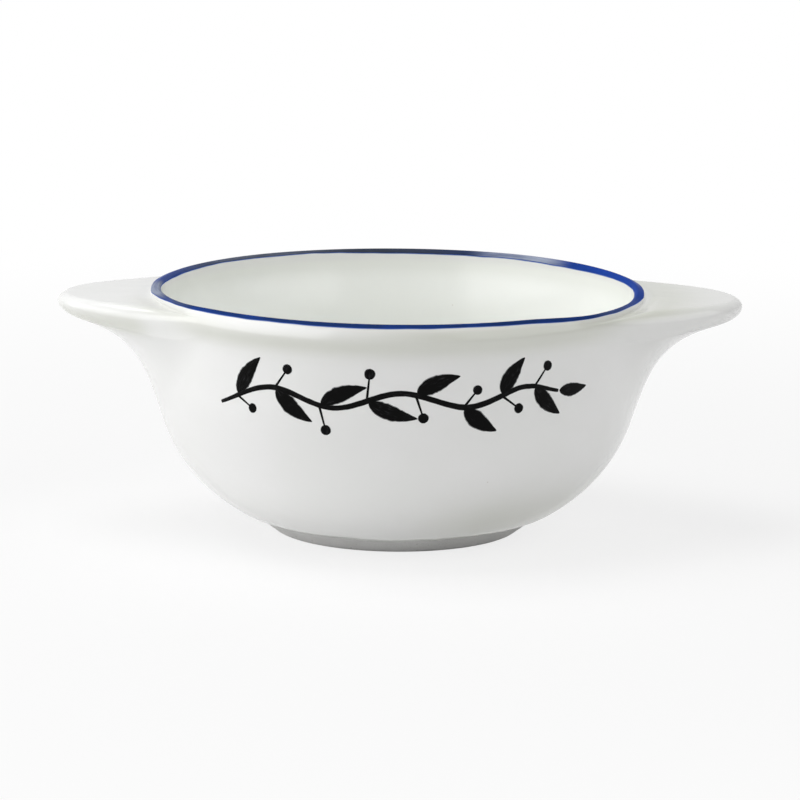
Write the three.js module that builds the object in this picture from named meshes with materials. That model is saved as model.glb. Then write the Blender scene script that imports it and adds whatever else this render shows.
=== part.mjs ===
// Earthenware porringer: a footed bowl with two ear handles and a band painted round its lip.
// Millimetres, +Z up. The origin is on the table under the middle of the foot, and +X runs
// through the right ear. The bowl, its foot and its ears are made apart and luted with slip.
import * as THREE from "three";

// Vessel
const bowlHeight = 65; // table to the crest of the lip
const rimRadius = 65; // outside of the lip
const lipFlare = 1; // how far the lip flares out from the wall below it
const flareHeight = 8; // height of the hollow neck and the flare, under the half-round lip
const uprightHeight = 22; // crest of the lip down to where the belly begins to round in
const wallThickness = 4.2; // at the foot of the upright wall
const lipThickness = 2.8; // across the half-round lip
const floorThickness = 5; // clay under the middle of the bowl
const floorRadius = 24; // flat middle of the floor
const bellyFootRadius = 37.5; // outside of the belly where it meets the foot

// How full the curves of the belly are, as shares of its own height and breadth
const bellyTuck = 0.56; // how far down the upright wall still steers the belly, outside and inside
const bellySpread = 0.415; // how far out the belly heads as it leaves the foot
const bellyLift = 0.116; // how far up it heads over that
const floorSpread = 0.65; // how far out the floor heads before it climbs

// How the flare turns out, as shares of its height
const flareNeck = 0.54; // how far up the upright wall still steers it
const flareRoll = 0.27; // how far down the lip steers it

// Foot ring
const footHeight = 3.6; // table to the underside of the bowl
const footShelf = 0.6; // belly standing out over the top of the ring
const footTaper = 4.7; // how far the outside slopes in on its way down
const footWidth = 4.6; // across the ring at the table
const footEdge = 0.7; // rounded edges at the table

// Painted lip band
const bandThickness = 0.3; // fired colour, flush in its bed on the lip

// Ears
const earReach = 25.2; // outside of the lip to the tip
const earTipThickness = 5.3; // across the rounded edge
const earTipDrop = 2.5; // crest of the lip down to the top of the tip
const earRootDrop = 2.1; // crest of the lip down to the top of the root
const earRootDepth = 29; // lower edge of the tip down to where the underside leaves the wall
const earHalfAngle = THREE.MathUtils.degToRad(44); // from the middle to where the swelling dies away
const earMargin = 0.5; // thin edge of the root against the wall
const slipGap = 0.3; // slip joint between ear and wall

// How hollow the underside of an ear is, as shares of its root's depth and of its arm
const earHollow = 0.24; // depth left when the underside swings out from the wall
const earUndercut = 0.65; // arm at which it heads for the rounded edge
const earSag = 0.09; // depth that it still climbs from there

// Facets
const turns = 64; // round the bowl
const curveSteps = 13; // along each long curve of the section
const flareSteps = 6; // up the flare
const roundSteps = 6; // round the lip
const edgeSteps = 2; // round each edge of the foot
const earSteps = 28; // across an ear
const earCurveSteps = 10; // along its underside
const earRoundSteps = 8; // round its edge
const earJointSteps = 9; // down the face against the wall

const lipRound = lipThickness / 2;
const lipHeight = bowlHeight - lipRound; // centre of the half-round
const lipRadius = rimRadius - lipRound;
const wallRadius = rimRadius - lipFlare;
const bellyTop = bowlHeight - uprightHeight;

const white = { color: 0xeeeeec, roughness: 0.16, metalness: 0 };
const cobalt = { color: 0x1f3f92, roughness: 0.2, metalness: 0 };
const bareClay = { color: 0xdddcd9, roughness: 0.85, metalness: 0 };

const point = (radius, height) => new THREE.Vector2(radius, height);

// Half-round over the lip, from the outside to the inside.
function lipArc(radius) {
  return new THREE.EllipseCurve(lipRadius, lipHeight, radius, radius, 0, Math.PI).getPoints(roundSteps);
}

// Outside of the bowl from the foot to the lip: the belly, the upright wall and the flare.
function outerWall() {
  const rise = bellyTop - footHeight;
  const run = wallRadius - bellyFootRadius;
  const belly = new THREE.CubicBezierCurve(
    point(bellyFootRadius, footHeight),
    point(bellyFootRadius + run * bellySpread, footHeight + rise * bellyLift),
    point(wallRadius, bellyTop - rise * bellyTuck),
    point(wallRadius, bellyTop),
  );
  const neck = lipHeight - flareHeight;
  const flare = new THREE.CubicBezierCurve(
    point(wallRadius, neck),
    point(wallRadius, neck + flareHeight * flareNeck),
    point(rimRadius, lipHeight - flareHeight * flareRoll),
    point(rimRadius, lipHeight),
  );
  return [...belly.getPoints(curveSteps), ...flare.getPoints(flareSteps)];
}

// Inside of the bowl from the lip to the floor.
function innerWall() {
  const innerRadius = wallRadius - wallThickness;
  const floorHeight = footHeight + floorThickness;
  const hollow = new THREE.CubicBezierCurve(
    point(innerRadius, bellyTop),
    point(innerRadius, bellyTop - (bellyTop - floorHeight) * bellyTuck),
    point(floorRadius + (innerRadius - floorRadius) * floorSpread, floorHeight),
    point(floorRadius, floorHeight),
  );
  return [point(rimRadius - lipThickness, lipHeight), ...hollow.getPoints(curveSteps), point(0, floorHeight)];
}

// Bed that the band is painted on, shared by the body and the band.
const lipBed = lipArc(lipRound - bandThickness);

// Radius of the outside at a height, read off the wall's own section.
function wallRadiusAt(height, wall) {
  const next = wall.findIndex((p) => p.y > height);
  if (next < 0) return rimRadius;
  const upper = wall[next];
  const lower = wall[Math.max(next - 1, 0)];
  const share = (height - lower.y) / (upper.y - lower.y || 1);
  return THREE.MathUtils.lerp(lower.x, upper.x, share);
}

// Section turned about the bowl's axis, which LatheGeometry draws along Y.
function turned(section) {
  return new THREE.LatheGeometry(section, turns).rotateX(Math.PI / 2);
}

function bodyGeometry() {
  return turned([point(0, footHeight), ...outerWall(), ...lipBed, ...innerWall()]);
}

function bandGeometry() {
  const outside = lipArc(lipRound);
  return turned([...outside, ...lipBed.slice().reverse(), outside[0]]);
}

// Edge of the foot rounded between two sides that meet at a corner.
function roundedCorner(corner, before, after) {
  const from = corner.clone().add(before.clone().sub(corner).setLength(footEdge));
  const to = corner.clone().add(after.clone().sub(corner).setLength(footEdge));
  return new THREE.QuadraticBezierCurve(from, corner, to).getPoints(edgeSteps);
}

function footGeometry() {
  const outerTop = point(bellyFootRadius - footShelf, footHeight);
  const outerToe = point(outerTop.x - footTaper, 0);
  const innerToe = point(outerToe.x - footWidth, 0);
  const innerTop = point(innerToe.x, footHeight);
  const toes = [
    ...roundedCorner(innerToe, innerTop, outerToe),
    ...roundedCorner(outerToe, innerToe, outerTop),
  ];
  return turned([...toes, outerTop, innerTop, toes[0]]);
}

// Section of an ear at one place across it. swell is 1 at the middle and 0 at either side, where
// only a thin margin is left on the wall. The section runs out along the underside, which flows
// into the rounded edge, back along the top and down the face that lies against the wall.
function earSection(swell, wall) {
  const edge = earTipThickness / 2;
  const tipHeight = bowlHeight - earTipDrop - edge;
  const neckHeight = tipHeight - edge;
  const rootTop = bowlHeight - earRootDrop;
  const fullArm = rimRadius + earReach - edge - (wallRadiusAt(tipHeight, wall) + slipGap + earMargin);
  const arm = fullArm * swell ** 2;
  const rootDepth = earRootDepth * Math.sqrt(swell);
  const noseReach = edge * swell * (2 - swell);
  const heading = point(arm * (1 - earUndercut), rootDepth * earSag);
  const lean = Math.atan2(noseReach * heading.y, edge * heading.x);
  const nose = new THREE.EllipseCurve(arm, tipHeight, noseReach, edge, lean - Math.PI / 2, Math.PI / 2);
  const noseStart = nose.getPoint(0);
  const underside = new THREE.CubicBezierCurve(
    point(0, neckHeight - rootDepth),
    point(0, neckHeight - rootDepth * earHollow),
    noseStart.clone().sub(heading),
    noseStart,
  );
  const outside = [
    ...underside.getPoints(earCurveSteps),
    ...nose.getPoints(earRoundSteps).slice(1),
    point(0, rootTop),
  ];
  const joint = [];
  for (let step = 0; step <= earJointSteps; step++) {
    const height = THREE.MathUtils.lerp(rootTop, neckHeight - rootDepth, step / earJointSteps);
    joint.push(point(wallRadiusAt(height, wall) + slipGap, height));
  }
  return [...outside.map((p) => point(wallRadiusAt(p.y, wall) + slipGap + earMargin + p.x, p.y)), ...joint];
}

// Ear swept round the bowl's axis. Across the sweep its swell rises and dies away as the square of
// a cosine, its arm as the fourth power and the depth of its root as the cosine itself.
function earGeometry() {
  const wall = outerWall();
  const sections = [];
  const positions = [];
  for (let step = 0; step <= earSteps; step++) {
    const share = (2 * step) / earSteps - 1;
    const angle = share * earHalfAngle;
    const section = earSection(Math.cos((share * Math.PI) / 2) ** 2, wall);
    sections.push(section);
    positions.push(...section.flatMap((p) => [p.x * Math.cos(angle), p.x * Math.sin(angle), p.y]));
  }
  const count = sections[0].length;
  const faces = [];
  for (let ring = 0; ring < earSteps; ring++) {
    for (let side = 0; side < count; side++) {
      const a = ring * count + side;
      const d = ring * count + ((side + 1) % count);
      faces.push(a, a + count, d, d + count, d, a + count);
    }
  }
  const last = earSteps * count;
  for (const [a, b, c] of THREE.ShapeUtils.triangulateShape(sections[0], [])) {
    faces.push(a, b, c);
  }
  for (const [a, b, c] of THREE.ShapeUtils.triangulateShape(sections[earSteps], [])) {
    faces.push(last + a, last + c, last + b);
  }
  const geometry = new THREE.BufferGeometry();
  geometry.setAttribute("position", new THREE.Float32BufferAttribute(positions, 3));
  geometry.setIndex(faces);
  geometry.computeVertexNormals();
  return geometry;
}

function piece(name, geometry, finish) {
  const mesh = new THREE.Mesh(geometry, new THREE.MeshStandardMaterial(finish));
  mesh.name = name;
  return mesh;
}

const porringer = new THREE.Group();
porringer.add(piece("bowl_body", bodyGeometry(), white));
porringer.add(piece("foot_ring", footGeometry(), bareClay));
porringer.add(piece("rim_band", bandGeometry(), cobalt));

const ear = earGeometry();
for (const [name, angle] of [["right_ear", 0], ["left_ear", Math.PI]]) {
  const lug = piece(name, ear, white);
  lug.rotation.z = angle;
  porringer.add(lug);
}

export default porringer;
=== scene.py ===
import math

import bpy
import numpy as np
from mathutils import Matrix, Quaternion, Vector, noise


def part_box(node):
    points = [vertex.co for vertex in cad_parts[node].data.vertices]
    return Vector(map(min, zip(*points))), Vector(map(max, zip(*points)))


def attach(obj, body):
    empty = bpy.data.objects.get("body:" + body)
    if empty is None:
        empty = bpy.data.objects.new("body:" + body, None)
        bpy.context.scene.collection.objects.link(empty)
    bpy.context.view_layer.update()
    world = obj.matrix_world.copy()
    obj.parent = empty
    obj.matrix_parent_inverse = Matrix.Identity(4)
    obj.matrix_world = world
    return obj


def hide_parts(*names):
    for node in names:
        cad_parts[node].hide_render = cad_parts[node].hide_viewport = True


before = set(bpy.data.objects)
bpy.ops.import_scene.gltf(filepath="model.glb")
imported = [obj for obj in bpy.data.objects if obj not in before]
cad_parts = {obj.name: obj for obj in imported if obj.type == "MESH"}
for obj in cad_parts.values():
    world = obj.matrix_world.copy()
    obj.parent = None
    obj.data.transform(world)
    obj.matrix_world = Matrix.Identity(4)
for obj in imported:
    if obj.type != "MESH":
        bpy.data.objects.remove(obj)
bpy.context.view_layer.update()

mm = 0.001  # sizes in the dictionaries are millimetres, unless a note says otherwise

# sizes that the frame gives
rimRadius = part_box("rim_band")[1].x / mm
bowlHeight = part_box("rim_band")[1].z / mm
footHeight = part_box("foot_ring")[1].z / mm
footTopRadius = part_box("foot_ring")[1].x / mm
bowlMiddle = Vector((0, 0, bowlHeight * mm * 0.5))
print(f"frame: lip {2 * rimRadius:.1f} mm across, {bowlHeight:.1f} mm high")

seedStep = (7.31, 1.7)  # how far apart two seeds lie in the noise
softEnds = (0.4, 1.4)  # a stretch is full to the first share of its half width and gone at the second


def bezier(start, startPull, endPull, end, steps):
    t = np.linspace(0, 1, steps + 1)[:, None]
    corners = [np.array(p, float) for p in (start, startPull, endPull, end)]
    return ((1 - t) ** 3 * corners[0] + 3 * (1 - t) ** 2 * t * corners[1]
            + 3 * (1 - t) * t ** 2 * corners[2] + t ** 3 * corners[3])


def arc(centre, radius, fromAngle, toAngle, steps):
    a = np.radians(np.linspace(fromAngle, toAngle, steps + 1))
    return np.stack([centre[0] + radius * np.cos(a), centre[1] + radius * np.sin(a)], -1)


def pathLength(path):
    # distance along a flat path at each point
    return np.concatenate([[0], np.cumsum(np.hypot(*np.diff(path, axis=0).T))])


def smoothStep(low, high, value):
    t = np.clip((np.asarray(value, float) - low) / (high - low), 0, 1)
    return t * t * (3 - 2 * t)


def bell(value, middle, spread):
    return np.exp(-((value - middle) / spread) ** 2)


def ripple(values, seed):
    # smooth hand-made unevenness, about -1 to 1
    y, z = seed * seedStep[0], seed * seedStep[1]
    return np.array([noise.noise(Vector((float(v), y, z))) for v in np.ravel(values)])


def layeredNoise(place, layers):
    # layers of noise: how fine, moved by how much, and how strong
    return sum(amount * noise.noise(place * scale + Vector(shift)) for scale, shift, amount in layers)


def stretches(places, azimuth):
    # sum of soft-ended stretches round the bowl: centre and half width in degrees, and how much
    total = np.zeros(np.shape(azimuth))
    for centre, halfWidth, amount in places:
        apart = np.abs((azimuth - centre + 180) % 360 - 180)
        total = total + amount * (1 - smoothStep(softEnds[0] * halfWidth, softEnds[1] * halfWidth, apart))
    return total


def angleOf(points):
    return np.arctan2(points[:, 1], points[:, 0])


def radiusOf(points):
    return np.hypot(points[:, 0], points[:, 1])


def turned(radius, angle, height):
    return np.stack([radius * np.cos(angle), radius * np.sin(angle), height], -1)


def revolve(section, around):
    # a section turned about Z
    angle = np.linspace(0, 2 * math.pi, around, endpoint=False)
    return turned(section[:, 0], angle[:, None], np.tile(section[:, 1], (around, 1)))


def pushOut(points, angle, amount):
    points[:, 0] += amount * np.cos(angle)
    points[:, 1] += amount * np.sin(angle)


def gridFaces(rows, columns, wrapRows, wrapColumns):
    faces = []
    for i in range(rows if wrapRows else rows - 1):
        here, there = i * columns, (i + 1) % rows * columns
        for j in range(columns if wrapColumns else columns - 1):
            k = (j + 1) % columns
            faces.append((here + j, there + j, there + k, here + k))
    return faces


def tubeFaces(rows, columns):
    # rings joined to a tube, with both ends closed
    last = (rows - 1) * columns
    ends = [tuple(range(columns)), tuple(range(last + columns - 1, last - 1, -1))]
    return gridFaces(rows, columns, False, True) + ends


def placed(name, data):
    thing = bpy.data.objects.new(name, data)
    bpy.context.scene.collection.objects.link(thing)
    return thing


def makePiece(name, points, faces, material, node=None, uv=None, attributes=None):
    # rides on the part, in the place of a node where one is given
    mesh = bpy.data.meshes.new(name)
    mesh.from_pydata((np.asarray(points) * mm).tolist(), [], faces)
    mesh.polygons.foreach_set("use_smooth", np.ones(len(mesh.polygons), bool))
    if uv is not None:
        layer = mesh.uv_layers.new(name="stroke")
        corners = np.zeros(len(mesh.loops), np.int32)
        mesh.loops.foreach_get("vertex_index", corners)
        layer.uv.foreach_set("vector", np.asarray(uv, np.float32)[corners].ravel())
    for key, values in (attributes or {}).items():
        mesh.attributes.new(key, "FLOAT", "POINT").data.foreach_set("value", np.asarray(values, np.float32))
    mesh.validate()
    mesh.update()
    mesh.materials.append(material)
    piece = placed(name, mesh)
    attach(piece, "root")
    if node:
        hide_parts(node)
    print(f"made {name}: {len(mesh.polygons)} faces")


# the bowl's section is shared by every piece that sits on it
bowl = {
    "lipThickness": 2.8,
    "lipFlare": 1.0,  # lip standing out from the wall below it
    "rollWidth": 1.8,  # crest of the lip to its outermost point, across and down
    "rollHeight": 4.2,
    "rollCrown": 0.45,  # shares of those that steer its two ends
    "rollSide": 0.3,
    "flareHeight": 5.2,  # hollow neck under that
    "flareNeck": 0.5,  # shares of the flare that its neck and its roll steer
    "flareRoll": 0.25,
    "uprightHeight": 22.0,  # crest of the lip to the top of the belly
    "wallThickness": 4.2,
    "taperPulls": (6, 7),  # how far lip and wall steer the inside
    "floorThickness": 5.0,
    "floorRadius": 24.0,
    "footShelf": 0.6,  # belly standing out over the foot
    "bellyTuck": 0.56,  # fullness of the curves
    "bellySpread": 0.415,
    "bellyLift": 0.116,
    "floorSpread": 0.65,
    "paint": 0.05,  # thickness of the band on the lip
    "underRings": (0.35, 0.7),  # of the underside, in shares of the belly's and the foot's radius
    "steps": {"belly": 40, "upright": 8, "flare": 20, "roll": 36, "lip": 14, "taper": 14, "hollow": 36,
              "floor": 9},
    "around": 288,
    # the wheel leaves it out of round and rocking: share, waves round the bowl, and their start
    "outOfRound": 0.14,
    "ovals": [(0.6, 2, 0.9), (0.4, 3, -1.3)],
    "rocking": (0.5, 2, -0.4),
    # the potter's hand, in stretches round the lip: where it sags and where it is rolled fuller
    "lipSags": [(0, 45, 0.38), (-27, 24, 0.95), (180, 45, 0.2), (-161, 18, 0.35)],
    "lipFuller": [(10, 40, 0.75), (174, 40, 0.8)],
    "sagFade": (1.2, 4),  # below the crest, where a sag fades and ends
    "fullStart": (0, 0.6),  # below the crest, where the fullness comes in and goes out
    "fullFade": (0.8, 2.6),
    "fullAcross": (-0.1, 0.5),  # out from the crest, where it comes in
    "handFade": (0.5, 5),  # out from the lip, where both fade and end
    # edge of the glaze over the foot: how high, how unsteady, and stretches where it stops short
    "glazeLine": 0.25,
    "glazeWaver": 0.25,
    "waverNoise": [(3, (0, 0, 1.3), 1), (9, (0, 0, 4.1), 0.6)],
    "glazeShort": [(-128, 26, 0.3), (-52, 26, 0.25)],
    "glazeFollow": 2.5,  # height of wall that follows that edge
    "glazeInset": 0.2,  # in from the belly's foot, where the wall follows it in full
    "glazeUnder": 0.15,  # how far the glaze turns under
    # darkening, in stretches round the bowl: painted shade with gathered glaze under the band, painted shade
    # low on the belly, then all round
    "dripsAndShade": [(-55, 40, 0.9), (-30, 26, 0.2), (-156, 22, 0.5)],
    "dripShadeBell": (2.4, 1.7),  # depth below the crest, and spread
    "bellyShade": [(-38, 42, 0.7)],
    "bellyShadeBell": (9, 9),  # height, and spread
    "neckPoolAndShade": (0.75, 0.3, 2.7),  # how much, at what share of the flare below the roll, and spread
    "footDarkening": (0.4, 3.5),  # how much, and how far up over the foot
    "floorDarkening": (0.35, 1.25, 9, 0.6),  # how much, share of the floor's radius, spread, share of belly's top
    "underLipDarkening": (0.3, 3.9, 3),  # how much, depth below the crest, and spread
    "skinDepth": 0.4,  # depth that still counts as the outside
    "insideCoatAndLight": (1, 2.4),  # over the underside and below the crest, where the lighter inner coat, partly painted light, ends
}
crest = bowlHeight - bowl["paint"]
crestRadius = rimRadius - bowl["rollWidth"]
rollHeight = crest - bowl["rollHeight"]
innerRound = bowl["lipThickness"] - bowl["rollWidth"]
wallFull = rimRadius - bowl["lipFlare"]
bellyTop = bowlHeight - bowl["uprightHeight"]
bellyFoot = footTopRadius + bowl["footShelf"]


def outerSection():
    steps, flareHeight = bowl["steps"], bowl["flareHeight"]
    rise, run = bellyTop - footHeight, wallFull - bellyFoot
    belly = bezier((bellyFoot, footHeight),
                   (bellyFoot + run * bowl["bellySpread"], footHeight + rise * bowl["bellyLift"]),
                   (wallFull, bellyTop - rise * bowl["bellyTuck"]), (wallFull, bellyTop), steps["belly"])
    neck = rollHeight - flareHeight
    upright = np.linspace((wallFull, bellyTop), (wallFull, neck), steps["upright"])
    flare = bezier((wallFull, neck), (wallFull, neck + flareHeight * bowl["flareNeck"]),
                   (rimRadius, rollHeight - flareHeight * bowl["flareRoll"]), (rimRadius, rollHeight),
                   steps["flare"])
    roll = bezier((rimRadius, rollHeight), (rimRadius, rollHeight + bowl["rollHeight"] * bowl["rollSide"]),
                  (crestRadius + bowl["rollWidth"] * bowl["rollCrown"], crest), (crestRadius, crest),
                  steps["roll"])
    return np.vstack([belly, upright[1:-1], flare, roll[1:]])


def innerSection():
    steps, floorRadius = bowl["steps"], bowl["floorRadius"]
    inner, floor = wallFull - bowl["wallThickness"], footHeight + bowl["floorThickness"]
    lipPull, wallPull = bowl["taperPulls"]
    lip = arc((crestRadius, crest - innerRound), innerRound, 90, 180, steps["lip"])
    taper = bezier(lip[-1], lip[-1] - (0, lipPull), (inner, bellyTop + wallPull), (inner, bellyTop),
                   steps["taper"])
    hollow = bezier((inner, bellyTop), (inner, bellyTop - (bellyTop - floor) * bowl["bellyTuck"]),
                    (floorRadius + (inner - floorRadius) * bowl["floorSpread"], floor),
                    (floorRadius, floor), steps["hollow"])
    middle = np.linspace((floorRadius, floor), (0, floor), steps["floor"])
    return np.vstack([lip, taper[1:], hollow[1:], middle[1:]])


outerWall = outerSection()
innerWall = innerSection()


def wallRadius(height):
    return np.interp(height, outerWall[:, 1], outerWall[:, 0])


def settle(points):
    # the wheel's unevenness grows towards the lip, and the potter's hand is on the lip alone
    points = np.array(points, float)
    angle, radius, below = angleOf(points), radiusOf(points), crest - points[:, 2]
    azimuth = np.degrees(angle)
    uneven = smoothStep(footHeight, bowlHeight, points[:, 2]) * bowl["outOfRound"]
    nearLip = 1 - smoothStep(*(rimRadius + out for out in bowl["handFade"]), radius)
    oval = sum(share * np.cos(waves * angle + start) for share, waves, start in bowl["ovals"])
    pushOut(points, angle, uneven * oval)
    share, waves, start = bowl["rocking"]
    points[:, 2] += uneven * share * np.cos(waves * angle + start)
    full = smoothStep(*bowl["fullStart"], below) * (1 - smoothStep(*bowl["fullFade"], below))
    full *= nearLip * smoothStep(*(crestRadius + out for out in bowl["fullAcross"]), radius)
    pushOut(points, angle, full * stretches(bowl["lipFuller"], azimuth))
    points[:, 2] -= stretches(bowl["lipSags"], azimuth) * nearLip * (1 - smoothStep(*bowl["sagFade"], below))
    return points


def feed(tree, socket, value):
    # a plain value is set on the socket, and a node's output is linked to it
    if isinstance(value, (int, float, tuple)):
        socket.default_value = value
    else:
        tree.links.new(value, socket)


def nodeAt(tree, kind, place, inputs=None, **settings):
    node = tree.nodes.new(kind)
    node.location = place
    for key, value in settings.items():
        setattr(node, key, value)
    for key, value in (inputs or {}).items():
        feed(tree, node.inputs[key], value)
    return node


def newGroup(name, vectorInput, valueInputs, outputs):
    tree = bpy.data.node_groups.new(name, "ShaderNodeTree")
    tree.interface.new_socket(name=vectorInput, in_out="INPUT", socket_type="NodeSocketVector")
    for key, value in valueInputs.items():
        socket = tree.interface.new_socket(name=key, in_out="INPUT", socket_type="NodeSocketFloat")
        socket.default_value = value
    for key in outputs:
        tree.interface.new_socket(name=key, in_out="OUTPUT", socket_type="NodeSocketFloat")
    given, out = nodeAt(tree, "NodeGroupInput", (-900, 0)), nodeAt(tree, "NodeGroupOutput", (700, 0))
    return tree, given.outputs, out.inputs


def groupNode(tree, group, place, inputs):
    return nodeAt(tree, "ShaderNodeGroup", place, inputs, node_tree=group).outputs


def mathNode(tree, operation, place, *values):
    return nodeAt(tree, "ShaderNodeMath", place, dict(enumerate(values)), operation=operation).outputs[0]


def rangeNode(tree, place, value, low, high, toLow=0.0, toHigh=1.0):
    inputs = {"Value": value, "From Min": low, "From Max": high, "To Min": toLow, "To Max": toHigh}
    node = nodeAt(tree, "ShaderNodeMapRange", place, inputs, interpolation_type="SMOOTHSTEP")
    return node.outputs["Result"]


def mixNode(tree, place, factor, first, second):
    inputs = {0: factor, 6: first, 7: second}  # sockets of the factor and of the two colours
    return nodeAt(tree, "ShaderNodeMix", place, inputs, data_type="RGBA").outputs[2]


def noiseNode(tree, place, vector, scale, detail, roughness):
    inputs = {"Vector": vector, "Scale": scale, "Detail": detail, "Roughness": roughness}
    return nodeAt(tree, "ShaderNodeTexNoise", place, inputs).outputs["Fac"]


def maskNode(tree, place, name):
    return nodeAt(tree, "ShaderNodeAttribute", place, attribute_name=name).outputs["Fac"]


# long waves and fine orange peel of a fired glaze
glazeSkin = {
    "wave": (2.0, 0.45),  # detail and roughness
    "peel": (1.0, 0.5),
    "cloud": (22.0, 3.0, 0.6),  # scale, detail and roughness of the duller patches
    "dullFrom": (0.35, 0.7),
}


def makeGlazeSkinGroup():
    tree, given, out = newGroup("glaze skin", "Vector",
                                {"Wave Scale": 60.0, "Peel Scale": 900.0, "Peel Share": 0.2},
                                ("Height", "Dulling"))
    position = given["Vector"]
    wave = noiseNode(tree, (-600, 200), position, given["Wave Scale"], *glazeSkin["wave"])
    peel = noiseNode(tree, (-600, -50), position, given["Peel Scale"], *glazeSkin["peel"])
    scaled = mathNode(tree, "MULTIPLY", (-350, -50), peel, given["Peel Share"])
    feed(tree, out["Height"], mathNode(tree, "ADD", (-100, 100), wave, scaled))
    cloud = noiseNode(tree, (-600, -300), position, *glazeSkin["cloud"])
    feed(tree, out["Dulling"], rangeNode(tree, (-100, -300), cloud, *glazeSkin["dullFrom"]))
    return tree


speckCore = 0.4  # share of a speck that is solid


def makeSpeckGroup():
    # sparse fired specks, each cell of the clay holding one or none
    tree, given, out = newGroup("fired specks", "Vector", {"Scale": 300.0, "Size": 0.12, "Rarity": 0.9},
                                ("Mask",))
    cells = nodeAt(tree, "ShaderNodeTexVoronoi", (-600, 100),
                   {key: given[key] for key in ("Vector", "Scale")})
    core = mathNode(tree, "MULTIPLY", (-600, -150), given["Size"], speckCore)
    spot = rangeNode(tree, (-300, 100), cells.outputs["Distance"], core, given["Size"], 1.0, 0.0)
    pick = nodeAt(tree, "ShaderNodeSeparateColor", (-400, -100), {0: cells.outputs["Color"]})
    kept = mathNode(tree, "GREATER_THAN", (-150, -100), pick.outputs[0], given["Rarity"])
    feed(tree, out["Mask"], mathNode(tree, "MULTIPLY", (150, 0), spot, kept))
    return tree


# bristle lines, load of paint and watery edge of a stroke
brushDrag = {
    "bristle": (1.0, 3.0, 0.6),  # scale, detail and roughness
    "load": (2.0, 0.5),  # detail and roughness
    "middle": 0.5,  # of a stroke's width
}


def makeBrushGroup():
    tree, given, out = newGroup("brush drag", "Stroke",
                                {"Bristles": 9.0, "Drag": 1.0, "Load Scale": 0.35, "Edge": 0.1},
                                ("Bristle", "Load", "Edge"))
    split = nodeAt(tree, "ShaderNodeSeparateXYZ", (-700, 200), {0: given["Stroke"]})
    width = split.outputs[1]
    along = mathNode(tree, "MULTIPLY", (-500, 300), split.outputs[0], given["Drag"])
    across = mathNode(tree, "MULTIPLY", (-500, 150), width, given["Bristles"])

    def joined(place, second):
        return nodeAt(tree, "ShaderNodeCombineXYZ", place, {0: along, 1: second}).outputs[0]

    bristle = noiseNode(tree, (-100, 250), joined((-300, 250), across), *brushDrag["bristle"])
    load = noiseNode(tree, (-100, 0), joined((-300, 0), width), given["Load Scale"],
                     *brushDrag["load"])
    offMiddle = mathNode(tree, "SUBTRACT", (-500, -250), width, brushDrag["middle"])
    fromMiddle = mathNode(tree, "ABSOLUTE", (-300, -250), offMiddle)
    toEdge = mathNode(tree, "SUBTRACT", (-100, -250), brushDrag["middle"], fromMiddle)
    feed(tree, out["Bristle"], bristle)
    feed(tree, out["Load"], load)
    feed(tree, out["Edge"], rangeNode(tree, (150, -250), toEdge, 0.0, given["Edge"]))
    return tree


glazeSkinGroup = makeGlazeSkinGroup()
speckGroup = makeSpeckGroup()
brushGroup = makeBrushGroup()
print("effects made")


def clearedTree(owner):
    owner.use_nodes = True
    owner.node_tree.nodes.clear()
    return owner.node_tree


def newMaterial(name):
    material = bpy.data.materials.new(name)
    tree = clearedTree(material)
    shader = nodeAt(tree, "ShaderNodeBsdfPrincipled", (700, 0))
    nodeAt(tree, "ShaderNodeOutputMaterial", (1000, 0), {"Surface": shader.outputs[0]})
    place = nodeAt(tree, "ShaderNodeTexCoord", (-1200, 0))
    return material, tree, shader.inputs, place.outputs


def dress(tree, shader, colour, roughness, height, depth):
    # depth of the bump in metres
    feed(tree, shader["Base Color"], colour)
    feed(tree, shader["Roughness"], roughness)
    bump = nodeAt(tree, "ShaderNodeBump", (450, -400), {"Strength": 1.0, "Distance": depth, "Height": height})
    feed(tree, shader["Normal"], bump.outputs[0])


whiteGlaze = {
    "colour": (0.858, 0.862, 0.848, 1),
    "thin": (0.875, 0.875, 0.868, 1),  # where the glaze ran thin
    "poolAndShade": (0.69, 0.702, 0.635, 1),  # where it gathered, and painted shade
    "inside": (0.915, 0.93, 0.895, 1),  # lighter coat inside: thicker glaze, and painted light
    "speck": (0.52, 0.47, 0.40, 1),
    "speckShow": 0.5,
    "specks": {"Scale": 260.0, "Size": 0.075, "Rarity": 0.97},
    "skin": {"Wave Scale": 70.0, "Peel Share": 0.05},
    "cloud": (34.0, 3.0, 0.55),  # scale, detail and roughness of the thin patches
    "thinFrom": (0.4, 0.72),
    "roughness": (0.13, 0.2),
    "waveDepth": 0.00015,
    "ior": 1.52,
}


def makeWhiteGlaze():
    v = whiteGlaze
    material, tree, shader, place = newMaterial("white_glaze")
    position = place["Object"]
    skin = groupNode(tree, glazeSkinGroup, (-600, -300), {"Vector": position, **v["skin"]})
    specks = groupNode(tree, speckGroup, (-600, 300), {"Vector": position, **v["specks"]})
    cloud = noiseNode(tree, (-600, 100), position, *v["cloud"])
    thin = rangeNode(tree, (-450, 100), cloud, *v["thinFrom"])
    body = mixNode(tree, (-300, 100), thin, v["colour"], v["thin"])
    # lighter inside: thicker glaze and painted light
    coatedAndLit = mixNode(tree, (-150, 250), maskNode(tree, (-600, 750), "inside"), body, v["inside"])
    # darker where glaze gathered and where shade is painted
    gathered = mixNode(tree, (50, 200), maskNode(tree, (-600, 550), "pooling_and_shade"), coatedAndLit, v["poolAndShade"])
    faint = mathNode(tree, "MULTIPLY", (-300, 400), specks["Mask"], v["speckShow"])
    colour = mixNode(tree, (250, 200), faint, gathered, v["speck"])
    roughness = rangeNode(tree, (250, -100), skin["Dulling"], 0, 1, *v["roughness"])
    dress(tree, shader, colour, roughness, skin["Height"], v["waveDepth"])
    shader["IOR"].default_value = v["ior"]
    return material


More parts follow.
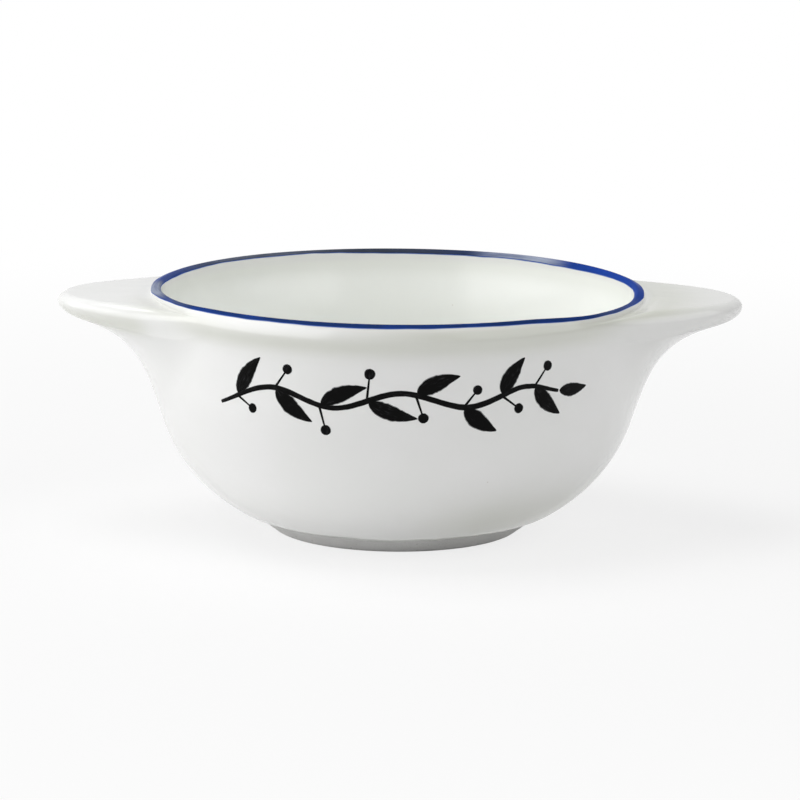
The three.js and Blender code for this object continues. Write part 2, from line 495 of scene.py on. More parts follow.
blueBand = {
    "deep": (0.014, 0.036, 0.14, 1),  # loaded stroke
    "full": (0.017, 0.056, 0.32, 1),  # even wash
    "slate": (0.048, 0.056, 0.074, 1),  # overfired, greyed
    "edge": (0.05, 0.12, 0.46, 1),  # watery edge
    "dry": (0.34, 0.38, 0.49, 1),  # clay seen through a dry brush; at the left end also a painted highlight
    "bare": (0.72, 0.75, 0.80, 1),
    "brush": {"Bristles": 5.0, "Drag": 0.07, "Load Scale": 1.6, "Edge": 0.16},
    # ranges of load, bristles and edge over which the paint changes
    "loadFrom": (0.25, 0.55, 0.5, 1.0),
    "streakFrom": (0.3, 0.6, 0.5, 1.0),
    "dryFrom": (0.6, 1.0),
    "washFrom": (0.35, 0.9),
    "bareTo": (0.0, 0.3),
    "skin": {"Wave Scale": 90.0, "Peel Share": 0.05},
    "roughness": (0.18, 0.3),
    "waveDepth": 0.00015,
    "ior": 1.52,
    "specular": 0.001,  # low, so that the blue holds where the lip turns to the lamps
}


def makeBlueBand():
    v = blueBand
    material, tree, shader, place = newMaterial("blue_band")
    brush = groupNode(tree, brushGroup, (-700, 200), {"Stroke": place["UV"], **v["brush"]})
    edge = brush["Edge"]
    uneven = mathNode(tree, "SUBTRACT", (-400, 600), 1.0, maskNode(tree, (-700, 600), "evenness"))
    load = rangeNode(tree, (-400, 300), brush["Load"], *v["loadFrom"])
    loaded = mathNode(tree, "MULTIPLY", (-250, 400), load, uneven)
    paint = mixNode(tree, (-100, 300), loaded, v["full"], v["deep"])
    greyed = mixNode(tree, (50, 300), maskNode(tree, (-700, 800), "greyness"), paint, v["slate"])
    streak = rangeNode(tree, (-400, 100), brush["Bristle"], *v["streakFrom"])
    inner = rangeNode(tree, (-400, -50), edge, *v["dryFrom"])
    # dry brush, and at the left end a painted highlight
    drynessAndHighlight = mathNode(tree, "MULTIPLY", (-250, 0), maskNode(tree, (-700, 1000), "drynessAndHighlight"), inner)
    dry = mathNode(tree, "MULTIPLY", (-100, 50), streak, drynessAndHighlight)
    streaked = mixNode(tree, (200, 250), dry, greyed, v["dry"])
    washed = rangeNode(tree, (-200, -200), edge, *v["washFrom"])
    edged = mixNode(tree, (350, 200), washed, v["edge"], streaked)
    colour = mixNode(tree, (500, 200), rangeNode(tree, (0, -200), edge, *v["bareTo"]), v["bare"], edged)
    skin = groupNode(tree, glazeSkinGroup, (-700, -400), {"Vector": place["Object"], **v["skin"]})
    roughness = rangeNode(tree, (200, -100), skin["Dulling"], 0, 1, *v["roughness"])
    dress(tree, shader, colour, roughness, skin["Height"], v["waveDepth"])
    shader["IOR"].default_value = v["ior"]
    shader["Specular IOR Level"].default_value = v["specular"]
    return material


blackBrush = {
    "deep": (0.002, 0.002, 0.002, 1),
    "thin": (0.03, 0.03, 0.033, 1),
    "bare": (0.42, 0.43, 0.43, 1),
    "brush": {"Bristles": 9.0, "Drag": 0.45, "Edge": 0.07},
    # ranges of bristles and load over which the paint thins and dulls
    "dryFrom": (0.5, 0.75),
    "loadTo": (0.6, 0.4),
    "dullFrom": (0.3, 0.8),
    "roughness": (0.16, 0.3),
    "bristleDepth": 0.00002,
    "ior": 1.5,
    "specular": 0.06,
}


def makeBlackBrush():
    v = blackBrush
    material, tree, shader, place = newMaterial("black_brushwork")
    brush = groupNode(tree, brushGroup, (-700, 200), {"Stroke": place["UV"], **v["brush"]})
    bristle = brush["Bristle"]
    spent = rangeNode(tree, (-400, -100), brush["Load"], *v["loadTo"])
    dry = mathNode(tree, "MULTIPLY", (-200, 100), rangeNode(tree, (-400, 100), bristle, *v["dryFrom"]), spent)
    paint = mixNode(tree, (0, 200), dry, v["deep"], v["thin"])
    edged = mixNode(tree, (250, 200), brush["Edge"], v["bare"], paint)
    roughness = rangeNode(tree, (200, -100), bristle, *v["dullFrom"], *v["roughness"])
    dress(tree, shader, edged, roughness, bristle, v["bristleDepth"])
    shader["IOR"].default_value = v["ior"]
    shader["Specular IOR Level"].default_value = v["specular"]
    return material


bareFoot = {
    "clay": (0.73, 0.726, 0.715, 1),
    "pale": (0.79, 0.787, 0.778, 1),
    # grime of the specks and the wear, and painted shade
    "grimeAndShade": (0.50, 0.495, 0.485, 1),
    "specks": {"Scale": 700.0, "Size": 0.25, "Rarity": 0.82},
    "cloud": (160.0, 4.0, 0.6),  # scale, detail and roughness of its patches
    "paleFrom": (0.35, 0.65),
    "dullFrom": (0.3, 0.7),
    "roughness": (0.78, 0.92),
    "grain": (1500.0, 3.0, 0.65),
    "grainDepth": 0.00008,
}


def makeBareFoot():
    v = bareFoot
    material, tree, shader, place = newMaterial("bare_clay")
    position = place["Object"]
    cloud = noiseNode(tree, (-600, 200), position, *v["cloud"])
    pale = rangeNode(tree, (-450, 200), cloud, *v["paleFrom"])
    clay = mixNode(tree, (-300, 200), pale, v["clay"], v["pale"])
    specks = groupNode(tree, speckGroup, (-600, 450), {"Vector": position, **v["specks"]})
    speckled = mixNode(tree, (0, 200), specks["Mask"], clay, v["grimeAndShade"])
    # wear near the table, and painted shade on the foot's sides
    patchy = mathNode(tree, "MULTIPLY", (-300, -100), maskNode(tree, (-600, -100), "wearAndShade"), cloud)
    colour = mixNode(tree, (250, 200), patchy, speckled, v["grimeAndShade"])
    roughness = rangeNode(tree, (250, -100), cloud, *v["dullFrom"], *v["roughness"])
    grain = noiseNode(tree, (-600, -350), position, *v["grain"])
    dress(tree, shader, colour, roughness, grain, v["grainDepth"])
    return material


whiteGlazeMaterial = makeWhiteGlaze()
blueBandMaterial = makeBlueBand()
blackBrushMaterial = makeBlackBrush()
bareFootMaterial = makeBareFoot()
print("materials made")


def outerPoolAndShade(points):
    # darkening outside: gathered glaze and painted shade in the neck, painted shade with gathered glaze under
    # the band, painted shade low on the belly, and darker over the foot
    height, azimuth = points[:, 2], np.degrees(angleOf(points))
    neckAmount, neckShare, neckSpread = bowl["neckPoolAndShade"]
    dripDepth, dripSpread = bowl["dripShadeBell"]
    footAmount, footRise = bowl["footDarkening"]
    # gathered glaze and painted shade in the neck
    neck = neckAmount * bell(height, rollHeight - neckShare * bowl["flareHeight"], neckSpread)
    # painted shade with gathered glaze under the band
    dripsAndShade = stretches(bowl["dripsAndShade"], azimuth) * bell(height, crest - dripDepth, dripSpread)
    # painted shade low on the belly's right
    belly = stretches(bowl["bellyShade"], azimuth) * bell(height, *bowl["bellyShadeBell"])
    return neck + dripsAndShade + belly + footAmount * (1 - smoothStep(footHeight, footHeight + footRise, height))


def insideDarkening(points):
    # darker inside, round the floor and under the lip
    height, radius = points[:, 2], radiusOf(points)
    floorAmount, floorShare, floorSpread, floorTop = bowl["floorDarkening"]
    lipAmount, lipDepth, lipSpread = bowl["underLipDarkening"]
    onFloor = bell(radius, bowl["floorRadius"] * floorShare, floorSpread) * (height < bellyTop * floorTop)
    return floorAmount * onFloor + lipAmount * bell(height, crest - lipDepth, lipSpread)


def glazeRise(points, rows, columns):
    # lifts the belly's low edge to the glaze's unsteady line
    turns = np.linspace(0, 2 * math.pi, rows, endpoint=False)
    waver = [layeredNoise(Vector((math.cos(a), math.sin(a), 0)), bowl["waverNoise"]) for a in turns]
    line = bowl["glazeLine"] + bowl["glazeWaver"] * np.append(np.repeat(waver, columns), [0, 0])
    line += stretches(bowl["glazeShort"], np.degrees(angleOf(points)))
    low = 1 - smoothStep(footHeight, footHeight + bowl["glazeFollow"], points[:, 2])
    return line * low * smoothStep(footTopRadius, bellyFoot - bowl["glazeInset"], radiusOf(points))


def makeBowlWall():
    bellyShare, footShare = bowl["underRings"]
    radii = (0, bellyFoot * bellyShare, footTopRadius * footShare, footTopRadius,
             bellyFoot - bowl["glazeUnder"])
    under = np.array([(radius, footHeight) for radius in radii])
    section = np.vstack([under, outerWall, innerWall[1:]])
    grid = revolve(section[1:-1], bowl["around"])
    rows, columns = grid.shape[:2]
    points = np.vstack([grid.reshape(-1, 3), [(0, 0, section[0, 1]), (0, 0, section[-1, 1])]])
    faces = gridFaces(rows, columns, True, False)
    base, floor = rows * columns, rows * columns + 1
    for i in range(rows):
        j = (i + 1) % rows
        faces.append((base, j * columns, i * columns))
        faces.append((floor, i * columns + columns - 1, j * columns + columns - 1))
    height = points[:, 2].copy()
    outside = radiusOf(points) > wallRadius(height) - bowl["skinDepth"]
    pooling_and_shade = np.where(outside, outerPoolAndShade(points), insideDarkening(points))
    # the lighter inside coat is partly painted light
    coatFrom, coatTo = footHeight + bowl["insideCoatAndLight"][0], crest - bowl["insideCoatAndLight"][1]
    inside = ~outside & (height > coatFrom) & (height < coatTo)
    points[:, 2] += glazeRise(points, rows, columns)
    makePiece("bowl_wall", settle(points), faces, whiteGlazeMaterial, "bowl_body",
              attributes={"pooling_and_shade": np.clip(pooling_and_shade, 0, 1), "inside": inside})


ear = {
    "reach": {"left_ear": 24.5, "right_ear": 25.8},  # outside of the lip to the tip
    "droop": {"left_ear": 0.0, "right_ear": 0.3},  # of the tip
    "tipThickness": 5.3,
    "pinch": 0.5,  # share by which its lower half thins towards the wall
    "tipDrop": 2.5,  # crest of the lip to the top of the tip
    "rootDepth": 29.0,
    "hollow": 0.24,  # shares that steer the underside, and how it climbs
    "undercut": 0.65,
    "sag": 0.09,
    "halfAngle": 44.0,
    "ends": 0.97,  # share of that angle at which the thin ends are cut
    "slump": 0.42,  # share of the root's depth by which the edge softens towards the wall
    "slumpPower": 1.2,
    "topFlow": 0.35,  # how the top climbs from the arm to the lip
    "topRise": (0.2, 0.1),
    "lipFillet": 1.1,  # height that the top climbs the lip
    "sink": 0.03,  # root sunk in the wall
    "bury": 1.2,  # and its back, inside the wall
    # glaze gathered and painted shade on top beside the lip: how much, how far out, and the share of it on
    # the back half
    "valley": {"left_ear": (0.6, 5.0, 0.1), "right_ear": (1.2, 12.5, 1.0)},
    "valleyPlace": 2.5,  # out from the wall
    "valleyTop": (0.3, 1),  # over the tip's top, where it fades and ends
    "valleyFront": (4, 22),  # towards the front, where the rest of it comes in
    "runs": {"left_ear": 0.75, "right_ear": 0.0},  # and painted shade under the ear
    "underShadeBell": (-5, 3),  # level against the tip's top, and spread
    "underShadeFrom": (4, 9),  # out from the wall, where it comes in
    "topFrom": (-3, -0.5),  # where the underside gives way to the top
    "wallFade": 1.5,  # out from the wall, where the wall's own gathered glaze and painted shade fade
    "steps": {"nose": 16, "under": 36, "upper": 24},
    "across": 160,
}


def earSection(swell, reach):
    edge, steps = ear["tipThickness"] / 2, ear["steps"]
    top = bowlHeight - ear["tipDrop"]
    fullArm = rimRadius + reach - edge - wallRadius(top - edge)
    depth = ear["rootDepth"] * math.sqrt(swell)
    slump = ear["slump"] * depth * (1 - swell) ** ear["slumpPower"]
    stand = fullArm * swell ** 2 + edge * swell * (2 - swell)
    flatShare = fullArm / (fullArm + edge) * float(smoothStep(0, 1, swell))
    arm, noseReach = stand * flatShare, stand * (1 - flatShare)
    middle = top - edge - slump
    underEdge = edge * (1 - ear["pinch"] * (1 - swell))
    lower, bottom = middle - underEdge, top - 2 * edge - depth
    climb, run = ear["sag"] * (lower - bottom), (1 - ear["undercut"]) * arm
    lean = math.degrees(math.atan2(noseReach * climb, underEdge * run))
    noseUnder = arc((0, 0), 1, lean - 90, 0, steps["nose"]) * (noseReach, underEdge) + (arm, middle)
    noseOver = arc((0, 0), 1, 0, 90, steps["nose"]) * (noseReach, edge + slump) + (arm, middle)
    under = bezier((0, bottom), (0, lower - (lower - bottom) * ear["hollow"]),
                   noseUnder[0] - (run, climb), noseUnder[0], steps["under"])
    armRise, wallRise = ear["topRise"]
    upper = bezier((arm, top), (arm * ear["topFlow"], top + armRise), (0, top + wallRise),
                   (0, top + ear["lipFillet"]), steps["upper"])
    section = np.vstack([under, noseUnder[1:], noseOver[1:], upper[1:]])
    standing = section[:, 0].copy()
    section[:, 0] += wallRadius(section[:, 1]) - ear["sink"]
    buried = section[[-1, 0]] - (ear["bury"], 0)
    return np.vstack([section, buried]), np.concatenate([standing, [0, 0]])


def earPoolAndShade(node, ring, standing):
    level = ring[:, 2] - bowlHeight + ear["tipDrop"]
    amount, spread, behind = ear["valley"][node]
    amount *= behind + (1 - behind) * smoothStep(*ear["valleyFront"], -ring[:, 1])
    # gathered glaze and painted shade on top beside the lip
    valley = amount * bell(standing, ear["valleyPlace"], spread) * (1 - smoothStep(*ear["valleyTop"], level))
    # painted shade under the ear
    runs = ear["runs"][node] * bell(level, *ear["underShadeBell"]) * smoothStep(*ear["underShadeFrom"], standing)
    onTop, onWall = smoothStep(*ear["topFrom"], level), np.exp(-standing / ear["wallFade"])
    return onWall * outerPoolAndShade(ring) + (1 - onWall) * (onTop * valley + (1 - onTop) * runs)


def makeEar(name, node, turn):
    reach, rings, pooling_and_shade = ear["reach"][node], [], []
    for share in np.linspace(-ear["ends"], ear["ends"], ear["across"] + 1):
        swell = max(math.cos(share * math.pi / 2), 0) ** 2
        section, standing = earSection(swell, reach)
        height = section[:, 1] - ear["droop"][node] * (standing / reach) ** 2
        rings.append(turned(section[:, 0], turn + math.radians(share * ear["halfAngle"]), height))
        pooling_and_shade.append(earPoolAndShade(node, rings[-1], standing))
    makePiece(name, settle(np.vstack(rings)), tubeFaces(len(rings), len(rings[0])), whiteGlazeMaterial,
              node, attributes={"pooling_and_shade": np.hstack(pooling_and_shade)})


band = {
    "outside": 1.45,  # along the lip from its crest
    "inside": 2.0,
    "waver": 0.22,  # unsteady edges of the brush
    "waverOutside": [(2.6, (0, 0, 0), 1), (11, (0, 0, 0), 0.45)],
    "waverInside": [(2.9, (5, 1, 2), 1), (12, (9, 9, 0), 0.45)],
    "strokeStart": 30,  # azimuth where the brush was set down
    "edgeShare": 0.1,  # share of the width that thins to the edge
    "clear": 0.004,  # height of that edge over the lip
    "sunk": 0.12,  # back of the coat, inside the lip
    "slopeStep": 0.05,  # step along the lip that gives its slope
    "lipPoints": (52, 22),  # points of the outer and the inner wall that make up the lip
    "steps": 24,
    "around": 720,
    # the painter's hand, in stretches round the lip
    "liftedInside": [(-34, 22, -1.1), (-20, 8, -0.2), (-10, 6, -0.4), (38, 18, 0.3), (125, 30, -0.5),
                     (-161, 20, -1.2)],
    "widerOutside": [(18, 20, 0.3), (-6, 7, -0.22), (-19, 9, -0.35), (-27, 16, -0.35), (172, 22, 0.5),
                     (-160, 14, -0.45)],
    # near the left end (167, -173) these pale and grey the band: dry brush and a painted highlight
    "evenness": [(12, 34, 1.0), (167, 15, 0.7)],
    "greyness": [(110, 44, 0.9), (-173, 10, 0.5)],
    "drynessAndHighlight": [(56, 12, 1.0), (-173, 10, 0.8), (130, 22, 0.25), (164, 14, 0.16), (-157, 10, 0.15),
                (-25, 12, 0.15)],
}


def makeLipBand():
    outerPoints, innerPoints = band["lipPoints"]
    path = np.vstack([outerWall[-outerPoints:], innerWall[1:innerPoints]])
    length = pathLength(path)
    top = length[np.argmax(path[:, 1])]

    def along(where):
        return np.stack([np.interp(where, length, path[:, 0]), np.interp(where, length, path[:, 1])], -1)

    rings, uv, masks = [], [], {"evenness": [], "greyness": [], "drynessAndHighlight": []}
    around, step = band["around"], band["slopeStep"]
    across = np.linspace(0, 1, band["steps"] + 1)
    coat = bowl["paint"] * smoothStep(0, band["edgeShare"], np.minimum(across, 1 - across)) + band["clear"]
    for i in range(around):
        angle = 2 * math.pi * i / around
        azimuth = math.degrees(angle)
        turn = Vector((math.cos(angle), math.sin(angle), 0))
        outer = band["outside"] + stretches(band["widerOutside"], azimuth)
        inner = band["inside"] + stretches(band["liftedInside"], azimuth)
        outer += band["waver"] * layeredNoise(turn, band["waverOutside"])
        inner += band["waver"] * layeredNoise(turn, band["waverInside"])
        where = top - outer + across * (outer + inner)
        middle = along(where)
        tangent = along(where + step) - along(where - step)
        tangent /= np.linalg.norm(tangent, axis=1)[:, None]
        normal = np.stack([tangent[:, 1], -tangent[:, 0]], -1)
        ring = np.vstack([middle + normal * coat[:, None], (middle - normal * band["sunk"])[::-1]])
        rings.append(turned(ring[:, 0], angle, ring[:, 1]))
        drawn = rimRadius * math.radians(abs((azimuth - band["strokeStart"] + 180) % 360 - 180))
        uv.append(np.stack([np.full(len(ring), drawn), np.concatenate([across, across[::-1]])], -1))
        for key in masks:
            masks[key] += [float(stretches(band[key], azimuth))] * len(ring)
    makePiece("lip_band", settle(np.vstack(rings)), gridFaces(around, len(rings[0]), True, True),
              blueBandMaterial, "rim_band", np.vstack(uv), masks)


foot = {
    "taper": 4.7,
    "width": 4.6,
    "edge": 0.7,
    "edgePull": 0.4,  # roundness of that edge
    "climb": 1.1,  # bare clay over the foot, up to the glaze
    "grain": 0.035,
    "grainNoise": [(0.9, (0, 0, 0), 1), (2.3, (0, 0, 0), 0.5)],
    "grainStop": 0.3,  # below the foot's top, where the grain ends
    "tableGrain": 0.02,  # roughness of the face it stands on
    "wearFade": (0.2, 1.1),  # heights where the table's wear fades and ends
    "footShade": [(-45, 34, 0.65), (-125, 26, 0.2)],  # painted shade, in stretches round it
    "steps": {"edge": 6, "flat": 7, "side": 9, "inside": 6},
    "around": 240,
}


def makeFootRim():
    steps, edge = foot["steps"], foot["edge"]
    pull = edge * foot["edgePull"]
    toe = np.array((footTopRadius - foot["taper"], 0.0))
    innerToe = toe[0] - foot["width"]
    slope = np.array((foot["taper"], footHeight)) / math.hypot(foot["taper"], footHeight)
    outerEdge = bezier(toe - (edge, 0), toe - (pull, 0), toe + slope * pull, toe + slope * edge,
                       steps["edge"])
    innerEdge = bezier((innerToe, edge), (innerToe, pull), (innerToe + pull, 0), (innerToe + edge, 0),
                       steps["edge"])
    flat = np.linspace(innerEdge[-1], outerEdge[0], steps["flat"])
    over = np.array((footTopRadius, footHeight)) + foot["climb"] * np.array((foot["taper"] / footHeight, 1))
    side = np.linspace(outerEdge[-1], over, steps["side"])
    inside = np.linspace((innerToe, over[1]), innerEdge[0], steps["inside"])
    section = np.vstack([innerEdge[:-1], flat[:-1], outerEdge[:-1], side, inside[:-1]])
    points = revolve(section, foot["around"]).reshape(-1, 3)
    rough = np.array([layeredNoise(Vector(p), foot["grainNoise"]) for p in points])
    angle, height = angleOf(points), points[:, 2].copy()
    pushOut(points, angle, foot["grain"] * rough * (height < footHeight - foot["grainStop"]))
    points[:, 2] = np.where(height > foot["tableGrain"], height, np.abs(rough) * foot["tableGrain"])
    # wear near the table, plus painted shade in stretches
    wearAndShade = 1 - smoothStep(*foot["wearFade"], points[:, 2]) + stretches(foot["footShade"], np.degrees(angle))
    makePiece("foot_rim", points, gridFaces(foot["around"], len(section), True, True), bareFootMaterial,
              "foot_ring", attributes={"wearAndShade": wearAndShade})


# brushed on the front
sprig = {
    "stem": [(-49, 42.0), (-33, 47.6), (-16, 43.6), (1, 47.8), (18, 44.0), (33, 48.2), (44, 46.2)],
    "stemWidth": 0.8,
    "stemPressure": (0.55, 0.45, 0.25),  # at the ends, more in the middle, and how unsteady
    "stemRipple": (5, 3),  # how often that is, and its seed
    "stemLeast": 0.2,
    "leafCount": 8,
    "leafPlaces": (0.07, 0.82),  # shares of the stem: to the first leaf, then to the last
    "leafLength": 13.0,
    "leafShorter": 0.2,  # share lost towards the stem's end
    "leafWidth": 2.3,
    "leafLeast": 0.12,
    "leafShape": (0.8, 0.85, 0.25),  # where it is widest, how full, and how far its tip narrows
    "leafAngle": 47.0,
    "leafBend": 26,
    "lastLeaf": (6, 0.75, 0.8, 12),  # turn from the stem, shares of length and width, and bend
    "berryRadius": 1.3,
    "berryLeast": 0.05,
    "berryAngle": 58,
    "berrySeat": 0.8,  # share of the radius past its stalk
    "stalkLength": 5.0,
    "stalkWidths": (0.36, 0.24),
    "vary": {"leafAngle": 9, "leafLength": 0.16, "leafWidth": -0.12, "berryAngle": 12, "berryRadius": 0.15,
             "stalkLength": 0.3},  # from leaf to leaf
    "varyNoise": (1.9, 4.2),
    "wobble": [(0.10, 0.9), (0.05, 3.1)],  # of a stroke's edges: how much and how often
    "thickness": 0.07,
    "edgeThin": 0.75,  # share lost at a stroke's edges
    "thinBelow": 0.4,  # half width under which the paint thins
    "sunk": 0.1,  # back of the paint, inside the wall
    "loadShift": 13.7,  # so that no two strokes are loaded alike
    "steps": {"stem": 14, "leaf": 26, "stalk": 12, "berry": 15, "across": 10},
}


def smoothPath(points, steps):
    points = np.array(points, float)
    ends = np.vstack([2 * points[0] - points[1], points, 2 * points[-1] - points[-2]])
    out = []
    for a, b, c, d in zip(ends, ends[1:], ends[2:], ends[3:]):
        out.append(bezier(b, b + (c - a) / 6, c - (d - b) / 6, c, steps)[:-1])
    return np.vstack([*out, points[-1:]])


def wobbly(halfWidth, length, seed):
    wobble = [amount * ripple(length * often, seed + i) for i, (amount, often) in enumerate(sprig["wobble"])]
    return halfWidth * (1 + sum(wobble))


def strokeMesh(path, halfWidth, seed):
    # one brush stroke on the front of the wall, as a thin closed body
    path, halfWidth = np.asarray(path), np.asarray(halfWidth)
    tangent = np.gradient(path, axis=0)
    tangent /= np.linalg.norm(tangent, axis=1)[:, None]
    normal = np.stack([-tangent[:, 1], tangent[:, 0]], -1)
    length = pathLength(path)
    across = np.linspace(-1, 1, sprig["steps"]["across"] + 1)
    left = wobbly(halfWidth, length, seed)
    right = wobbly(halfWidth, length, seed + len(sprig["wobble"]))
    domed = sprig["thickness"] * (1 - sprig["edgeThin"] * np.abs(across) ** 3)
    sunk = np.full(len(across), -sprig["sunk"])
    points, uv = [], []
    for i in range(len(path)):
        reach = np.where(across < 0, left[i], right[i]) * across
        flat = path[i] + normal[i] * reach[:, None]
        lift = domed * min(1, halfWidth[i] / sprig["thinBelow"])
        drawn = np.full(len(across), length[i] + seed * sprig["loadShift"])
        for side, height in ((slice(None), lift), (slice(None, None, -1), sunk)):
            radius = wallRadius(flat[side, 1]) + height[side]
            points.append(turned(radius, flat[side, 0] / wallFull - math.pi / 2, flat[side, 1]))
            uv.append(np.stack([drawn, (across[side] + 1) / 2], -1))
    return np.vstack(points), tubeFaces(len(path), 2 * len(across)), np.vstack(uv)


def leafStroke(base, angle, length, width, bend):
    t = np.linspace(0, 1, sprig["steps"]["leaf"])
    heading = np.radians(angle + bend * t)
    step = length / (len(t) - 1)
    path = np.array(base) + np.cumsum(np.stack([np.cos(heading), np.sin(heading)], -1) * step, axis=0)
    widest, fullness, narrowing = sprig["leafShape"]
    swell = np.sin(math.pi * t ** widest) ** fullness * (1 - narrowing * t)
    return path, sprig["leafLeast"] + width * swell


def berryStrokes(base, angle, radius, stalkLength):
    # a stalk, and a dab of paint on its tip
    steps = sprig["steps"]
    out = np.radians(angle)
    heading = np.array((math.cos(out), math.sin(out)))
    tip = base + heading * stalkLength
    stalk = np.linspace(base, tip, steps["stalk"]), np.linspace(*sprig["stalkWidths"], steps["stalk"])
    dab = np.linspace(-1, 1, steps["berry"])
    halfWidth = sprig["berryLeast"] + radius * np.sqrt(np.clip(1 - dab ** 2, 0, 1))
    return [stalk, (tip + np.outer((dab + sprig["berrySeat"]) * radius, heading), halfWidth)]


def sprigStrokes():
    stem = smoothPath(sprig["stem"], sprig["steps"]["stem"])
    t = np.linspace(0, 1, len(stem))
    least, more, unsteady = sprig["stemPressure"]
    often, seed = sprig["stemRipple"]
    pressure = least + more * np.sin(math.pi * t) ** 0.5 + unsteady * ripple(t * often, seed)
    strokes = [(stem, np.clip(sprig["stemWidth"] * pressure, sprig["stemLeast"], None))]
    direction = np.degrees(np.arctan2(*np.gradient(stem, axis=0).T[::-1]))
    first, toLast = sprig["leafPlaces"]
    for i in range(sprig["leafCount"]):
        share = first + toLast * i / (sprig["leafCount"] - 1)
        at = int(share * (len(stem) - 1))
        side = 1 if i % 2 == 0 else -1
        drift = noise.noise(Vector((i * sprig["varyNoise"][0], sprig["varyNoise"][1], 0)))
        vary = {key: amount * drift for key, amount in sprig["vary"].items()}
        length = sprig["leafLength"] * (1 + vary["leafLength"] - sprig["leafShorter"] * share)
        strokes.append(leafStroke(stem[at], direction[at] + side * (sprig["leafAngle"] + vary["leafAngle"]),
                                  length, sprig["leafWidth"] * (1 + vary["leafWidth"]),
                                  -side * sprig["leafBend"]))
        strokes += berryStrokes(stem[at], direction[at] - side * (sprig["berryAngle"] + vary["berryAngle"]),
                                sprig["berryRadius"] * (1 + vary["berryRadius"]),
                                sprig["stalkLength"] * (1 + vary["stalkLength"]))
    turn, lengthShare, widthShare, bend = sprig["lastLeaf"]
    strokes.append(leafStroke(stem[-1], direction[-1] + turn, sprig["leafLength"] * lengthShare,
                              sprig["leafWidth"] * widthShare, bend))
    return strokes


def makeSprig():
    points, faces, uv, start = [], [], [], 0
    for seed, (path, halfWidth) in enumerate(sprigStrokes(), 1):
        strokePoints, strokeFaces, strokeUv = strokeMesh(path, halfWidth, seed)
        faces += [tuple(k + start for k in face) for face in strokeFaces]
        start += len(strokePoints)
        points.append(strokePoints)
        uv.append(strokeUv)
    makePiece("front_sprig", settle(np.vstack(points)), faces, blackBrushMaterial, uv=np.vstack(uv))


makeBowlWall()
makeEar("ear_on_right", "right_ear", 0.0)
makeEar("ear_on_left", "left_ear", math.pi)
makeLipBand()
makeFootRim()
makeSprig()


stage = {
    "floorRadius": 4.0,  # metres
    "floorSides": 64,
    "floor": (0.86, 0.86, 0.86, 1),
    "nearShow": 0.78,  # share of plain white seen beside the bowl
    "nearFade": (0.1, 0.5),  # metres out over which that grows to white alone
    "worldLight": 0.1,
}


def raySeen(tree, place):
    path = nodeAt(tree, "ShaderNodeLightPath", place)
    seen = path.outputs["Is Camera Ray"]
    for step, ray in ((200, "Is Glossy Ray"), (400, "Is Transmission Ray")):
        seen = mathNode(tree, "MAXIMUM", (place[0] + step, place[1]), seen, path.outputs[ray])
    return seen


def showPlain(tree, factor, lit, plain, outputKind):
    # lit as the lamps see it, plain as the camera and reflections do
    inputs = {0: factor, 1: lit.outputs[0], 2: plain.outputs[0]}
    mix = nodeAt(tree, "ShaderNodeMixShader", (250, 100), inputs)
    nodeAt(tree, outputKind, (500, 100), {"Surface": mix.outputs[0]})


def makeFloor():
    material = bpy.data.materials.new("pale_floor")
    tree = clearedTree(material)
    lit = nodeAt(tree, "ShaderNodeBsdfDiffuse", (0, 200), {"Color": stage["floor"]})
    plain = nodeAt(tree, "ShaderNodeEmission", (0, 0))
    place = nodeAt(tree, "ShaderNodeTexCoord", (-800, -200)).outputs
    far = nodeAt(tree, "ShaderNodeVectorMath", (-600, -200), {0: place["Object"]}, operation="LENGTH")
    show = rangeNode(tree, (-400, -200), far.outputs["Value"], *stage["nearFade"], stage["nearShow"], 1.0)
    factor = mathNode(tree, "MULTIPLY", (-100, -200), show, raySeen(tree, (-800, 200)))
    showPlain(tree, factor, lit, plain, "ShaderNodeOutputMaterial")
    turns = np.linspace(0, 2 * math.pi, stage["floorSides"], endpoint=False)
    rim = turned(stage["floorRadius"], turns, np.zeros(len(turns)))
    mesh = bpy.data.meshes.new("floor")
    mesh.from_pydata(rim.tolist(), [], [tuple(range(len(rim)))])
    mesh.materials.append(material)
    floor = placed("floor", mesh)


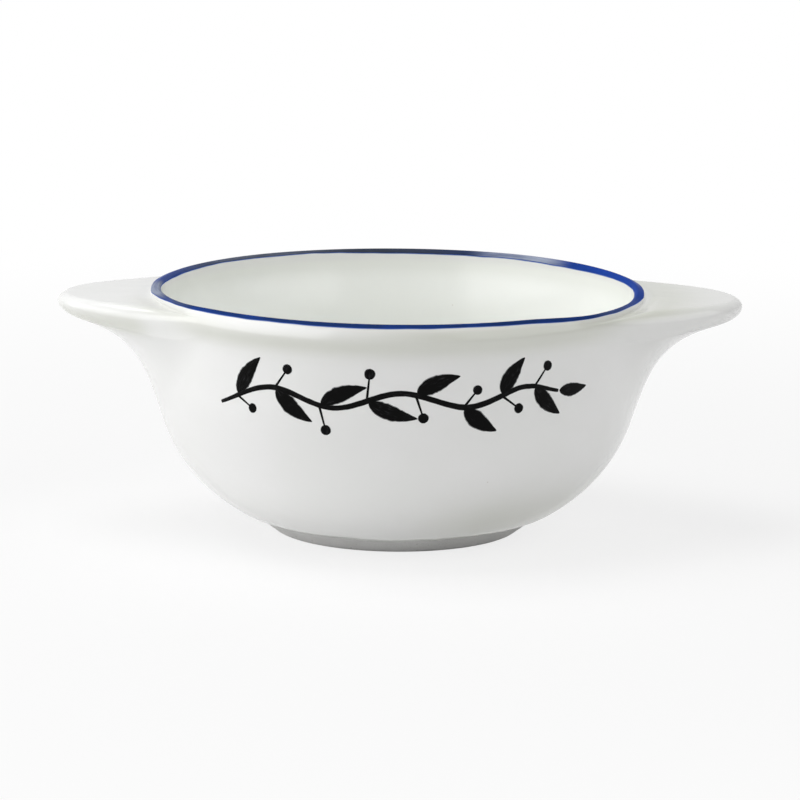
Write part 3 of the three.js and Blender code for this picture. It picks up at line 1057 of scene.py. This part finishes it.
def makeWorld():
    world = bpy.data.worlds.new("studio")
    tree = clearedTree(world)
    soft = nodeAt(tree, "ShaderNodeBackground", (0, 200), {"Strength": stage["worldLight"]})
    plain = nodeAt(tree, "ShaderNodeBackground", (0, 0))
    showPlain(tree, raySeen(tree, (-600, 200)), soft, plain, "ShaderNodeOutputWorld")
    bpy.context.scene.world = world


def standOff(thing, azimuth, elevation, distance, roll=0.0):
    # out from the bowl's middle, and turned to it
    a, e = math.radians(azimuth), math.radians(elevation)
    away = Vector((math.cos(e) * math.sin(a), -math.cos(e) * math.cos(a), math.sin(e)))
    thing.location = bowlMiddle + away * distance
    thing.rotation_mode = "QUATERNION"
    thing.rotation_quaternion = (-away).to_track_quat("-Z", "Y") @ Quaternion((0, 0, 1), math.radians(roll))


lamps = {
    # azimuth from the camera's side, elevation, distance, width and height in metres, watts
    "key": (-74, 17, 1.7, 2.8, 1.2, 21.6),
    "high": (-90, 70, 0.9, 0.6, 0.6, 5.1),
    "fill": (62, 28, 1.7, 2.2, 1.4, 13.4),
}


def makeLamps():
    for name, (azimuth, elevation, distance, width, height, power) in lamps.items():
        light = bpy.data.lights.new(name, "AREA")
        light.shape, light.size, light.size_y, light.energy = "RECTANGLE", width, height, power
        standOff(placed(name, light), azimuth, elevation, distance)


camera = {
    "distance": 1.0174,  # metres
    "elevation": 10.92,
    "roll": 0.489,
    "pixelFocal": 3837.6,  # focal length in pixels of an 800 pixel frame
    "frame": 800,
    "aim": (396.8, 405.1),  # where the bowl's middle falls in that frame
    "sensor": 36.0,
    "clip": (0.05, 50),  # metres
}


def makeCamera():
    v = camera
    data = bpy.data.cameras.new("camera")
    data.sensor_width = v["sensor"]
    data.lens = v["pixelFocal"] / v["frame"] * data.sensor_width
    data.shift_x = (v["frame"] / 2 - v["aim"][0]) / v["frame"]
    data.shift_y = (v["aim"][1] - v["frame"] / 2) / v["frame"]
    data.clip_start, data.clip_end = v["clip"]
    eye = placed("camera", data)
    standOff(eye, 0, v["elevation"], v["distance"], v["roll"])
    bpy.context.scene.camera = eye


makeFloor()
makeWorld()
makeLamps()
makeCamera()
bpy.context.scene.view_settings.view_transform = "Standard"
print("stage, lamps and camera made")
